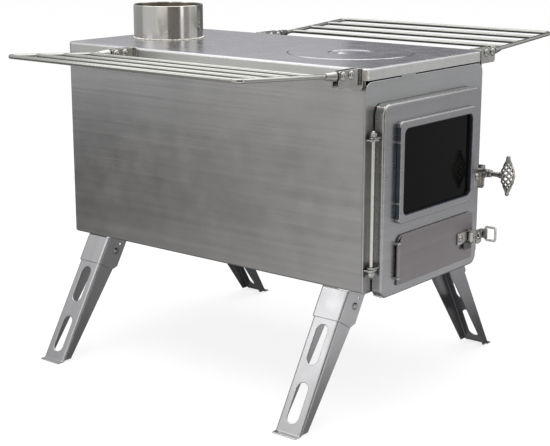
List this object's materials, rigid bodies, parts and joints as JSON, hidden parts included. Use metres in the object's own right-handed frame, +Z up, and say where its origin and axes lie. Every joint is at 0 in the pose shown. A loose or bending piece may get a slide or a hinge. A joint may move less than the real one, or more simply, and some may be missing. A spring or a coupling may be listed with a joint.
{
  "type": "tent wood stove",
  "caption": "Folding-leg tent wood stove with a hinged glazed door, air flap, cook lid, flue collar and fold-up wire side shelves.",
  "frame": {"origin": "on the floor, under the middle of the bounding box of the stove with its legs and shelves open", "axes": "+Z up; -Y towards the door; +X to the right for someone who faces the door"},
  "size_m": [0.6342, 0.5213, 0.438],
  "materials": {
    "body_steel": "brushed stainless sheet",
    "leg_steel": "pale brushed stainless",
    "bright_steel": "polished stainless",
    "inner_steel": "dull mill-finish sheet",
    "door_glass": "dark heat-proof glass"
  },
  "bodies": {
    "stove_body": {"body_shell": "body_steel", "rear_panel": "body_steel", "front_frame": "body_steel", "top_plate": "body_steel", "flue_collar": "bright_steel", "lid_seat_ring": "inner_steel", "baffle_plate": "inner_steel", "log_grate": "inner_steel", "frame_lug_upper": "bright_steel", "frame_lug_lower": "bright_steel", "hinge_rod": "bright_steel", "hinge_top_nut": "bright_steel", "hinge_cap_nut": "bright_steel", "latch_catch": "bright_steel", "leg_bracket_front_left": "leg_steel", "leg_bracket_front_right": "leg_steel", "leg_bracket_rear_left": "leg_steel", "leg_bracket_rear_right": "leg_steel", "leg_rivet_front_left": "bright_steel", "leg_rivet_front_right": "bright_steel", "leg_rivet_rear_left": "bright_steel", "leg_rivet_rear_right": "bright_steel", "shelf_bracket_front_left": "leg_steel", "shelf_bracket_rear_left": "leg_steel", "shelf_pivot_front_left": "bright_steel", "shelf_pivot_rear_left": "bright_steel", "shelf_bracket_front_right": "leg_steel", "shelf_bracket_rear_right": "leg_steel", "shelf_pivot_front_right": "bright_steel", "shelf_pivot_rear_right": "bright_steel"},
    "door": {"door_panel": "body_steel", "glass_bezel": "body_steel", "door_glass": "door_glass", "latch_bracket": "bright_steel", "flap_pin": "bright_steel"},
    "door_latch": {"latch_shaft": "bright_steel", "handle_grip": "bright_steel"},
    "flap": {"air_flap": "body_steel", "flap_latch_base": "bright_steel"},
    "flap_latch": {"flap_lever": "bright_steel", "flap_ring": "bright_steel"},
    "cook_ring": {"lid_ring": "body_steel"},
    "cook_lid": {"lid_centre": "body_steel"},
    "shelf_left": {"shelf_tongue_front_left": "bright_steel", "shelf_tongue_rear_left": "bright_steel", "shelf_frame_left": "bright_steel", "shelf_rod_1_left": "bright_steel", "shelf_rod_2_left": "bright_steel", "shelf_rod_3_left": "bright_steel"},
    "shelf_right": {"shelf_tongue_front_right": "bright_steel", "shelf_tongue_rear_right": "bright_steel", "shelf_frame_right": "bright_steel", "shelf_rod_1_right": "bright_steel", "shelf_rod_2_right": "bright_steel", "shelf_rod_3_right": "bright_steel"},
    "front_left_leg": {"leg_front_left": "leg_steel"},
    "front_right_leg": {"leg_front_right": "leg_steel"},
    "rear_left_leg": {"leg_rear_left": "leg_steel"},
    "rear_right_leg": {"leg_rear_right": "leg_steel"}
  },
  "joints": [
    {"name": "door_swing", "type": "hinge", "parent": "stove_body", "child": "door", "pos_m": [-0.1133, -0.2078, 0.24], "axis": [0, 0, -1], "range_deg": [0, 110]},
    {"name": "latch_turn", "type": "hinge", "parent": "door", "child": "door_latch", "pos_m": [0.1045, -0.21325, 0.251], "axis": [0, 1, 0], "range_deg": [0, 90]},
    {"name": "flap_swing", "type": "hinge", "parent": "door", "child": "flap", "pos_m": [-0.077, -0.2194, 0.18], "axis": [0, 0, -1], "range_deg": [0, 95]},
    {"name": "flap_latch_swing", "type": "hinge", "parent": "flap", "child": "flap_latch", "pos_m": [0.072, -0.2238, 0.179], "axis": [0, 0, -1], "range_deg": [0, 100]},
    {"name": "cook_ring_lift", "type": "slide", "parent": "stove_body", "child": "cook_ring", "axis": [0, 0, 1], "range_m": [0, 0.03]},
    {"name": "cook_lid_lift", "type": "slide", "parent": "cook_ring", "child": "cook_lid", "axis": [0, 0, 1], "range_m": [0, 0.02]},
    {"name": "shelf_fold_left", "type": "hinge", "parent": "stove_body", "child": "shelf_left", "pos_m": [-0.154, 0, 0.39], "axis": [0, 1, 0], "range_deg": [0, 110]},
    {"name": "shelf_fold_right", "type": "hinge", "parent": "stove_body", "child": "shelf_right", "pos_m": [0.154, 0, 0.39], "axis": [0, -1, 0], "range_deg": [0, 110]},
    {"name": "leg_fold_front_left", "type": "hinge", "parent": "stove_body", "child": "front_left_leg", "pos_m": [-0.10619, -0.1633, 0.12715], "axis": [0, -1, 0], "range_deg": [0, 120]},
    {"name": "leg_fold_rear_left", "type": "hinge", "parent": "stove_body", "child": "rear_left_leg", "pos_m": [-0.10619, 0.2167, 0.12715], "axis": [0, -1, 0], "range_deg": [0, 120]},
    {"name": "leg_fold_front_right", "type": "hinge", "parent": "stove_body", "child": "front_right_leg", "pos_m": [0.10619, -0.1633, 0.12715], "axis": [0, -1, 0], "range_deg": [-120, 0]},
    {"name": "leg_fold_rear_right", "type": "hinge", "parent": "stove_body", "child": "rear_right_leg", "pos_m": [0.10619, 0.2167, 0.12715], "axis": [0, -1, 0], "range_deg": [-120, 0]}
  ]
}
